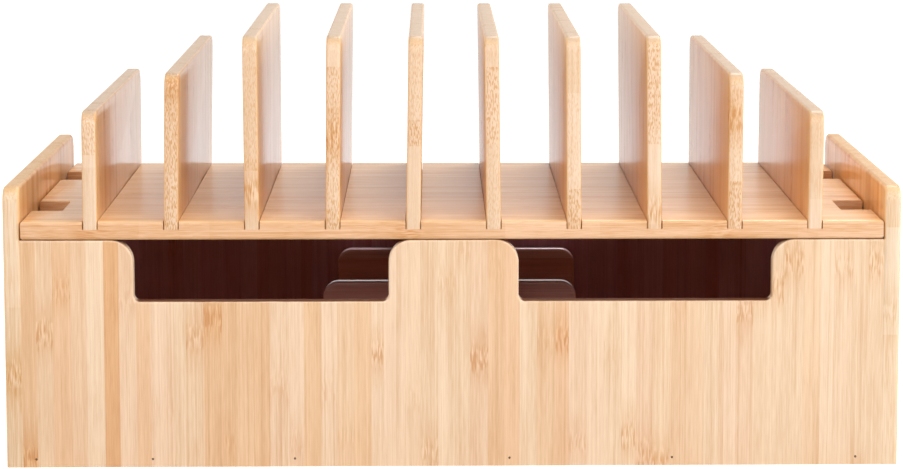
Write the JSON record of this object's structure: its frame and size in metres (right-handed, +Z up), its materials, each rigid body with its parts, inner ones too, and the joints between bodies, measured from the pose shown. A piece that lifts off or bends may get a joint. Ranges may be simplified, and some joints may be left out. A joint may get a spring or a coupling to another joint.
{
  "type": "charging station organizer",
  "caption": "Bamboo box that hides power strips and chargers under a lift-off shelf with removable upright dividers for standing devices, and notches for their cables.",
  "frame": {"origin": "on the surface that it stands on, under the middle of the footprint", "axes": "+X to the right seen from the front, +Y to the back, +Z up"},
  "size_m": [0.43, 0.243, 0.2079],
  "materials": {
    "wall_bamboo": "clear satin lacquer over pressed bamboo strips, upright grain",
    "base_bamboo": "clear satin lacquer over pressed bamboo strips, grain across the width",
    "cradle_bamboo": "clear satin lacquer over pressed bamboo strips, grain across the width",
    "shelf_bamboo": "clear satin lacquer over pressed bamboo strips, grain across the width",
    "divider_bamboo": "clear satin lacquer over pressed bamboo strips, upright grain",
    "peg_wood": "plain turned beech",
    "brad_steel": "dull steel wire"
  },
  "bodies": {
    "box": {"left_side_panel": "wall_bamboo", "right_side_panel": "wall_bamboo", "front_panel": "wall_bamboo", "back_panel": "wall_bamboo", "base_board": "base_bamboo", "cradle_front_board": "cradle_bamboo", "cradle_rear_board": "cradle_bamboo", "shelf_pegs": "peg_wood", "front_brads": "brad_steel", "rear_brads": "brad_steel", "left_side_brads": "brad_steel", "right_side_brads": "brad_steel"},
    "shelf": {"device_shelf": "shelf_bamboo"},
    "divider_01": {"divider_01": "divider_bamboo"},
    "divider_02": {"divider_02": "divider_bamboo"},
    "divider_03": {"divider_03": "divider_bamboo"},
    "divider_04": {"divider_04": "divider_bamboo"},
    "divider_05": {"divider_05": "divider_bamboo"},
    "divider_06": {"divider_06": "divider_bamboo"},
    "divider_07": {"divider_07": "divider_bamboo"},
    "divider_08": {"divider_08": "divider_bamboo"},
    "divider_09": {"divider_09": "divider_bamboo"},
    "divider_10": {"divider_10": "divider_bamboo"}
  },
  "joints": [
    {"name": "shelf_lift", "type": "slide", "parent": "box", "child": "shelf", "axis": [0, 0, 1], "range_m": [0, 0.04]},
    {"name": "divider_01_lift", "type": "slide", "parent": "shelf", "child": "divider_01", "axis": [0, 0, 1], "range_m": [0, 0.1]},
    {"name": "divider_02_lift", "type": "slide", "parent": "shelf", "child": "divider_02", "axis": [0, 0, 1], "range_m": [0, 0.1]},
    {"name": "divider_03_lift", "type": "slide", "parent": "shelf", "child": "divider_03", "axis": [0, 0, 1], "range_m": [0, 0.1]},
    {"name": "divider_04_lift", "type": "slide", "parent": "shelf", "child": "divider_04", "axis": [0, 0, 1], "range_m": [0, 0.1]},
    {"name": "divider_05_lift", "type": "slide", "parent": "shelf", "child": "divider_05", "axis": [0, 0, 1], "range_m": [0, 0.1]},
    {"name": "divider_06_lift", "type": "slide", "parent": "shelf", "child": "divider_06", "axis": [0, 0, 1], "range_m": [0, 0.1]},
    {"name": "divider_07_lift", "type": "slide", "parent": "shelf", "child": "divider_07", "axis": [0, 0, 1], "range_m": [0, 0.1]},
    {"name": "divider_08_lift", "type": "slide", "parent": "shelf", "child": "divider_08", "axis": [0, 0, 1], "range_m": [0, 0.1]},
    {"name": "divider_09_lift", "type": "slide", "parent": "shelf", "child": "divider_09", "axis": [0, 0, 1], "range_m": [0, 0.1]},
    {"name": "divider_10_lift", "type": "slide", "parent": "shelf", "child": "divider_10", "axis": [0, 0, 1], "range_m": [0, 0.1]}
  ]
}
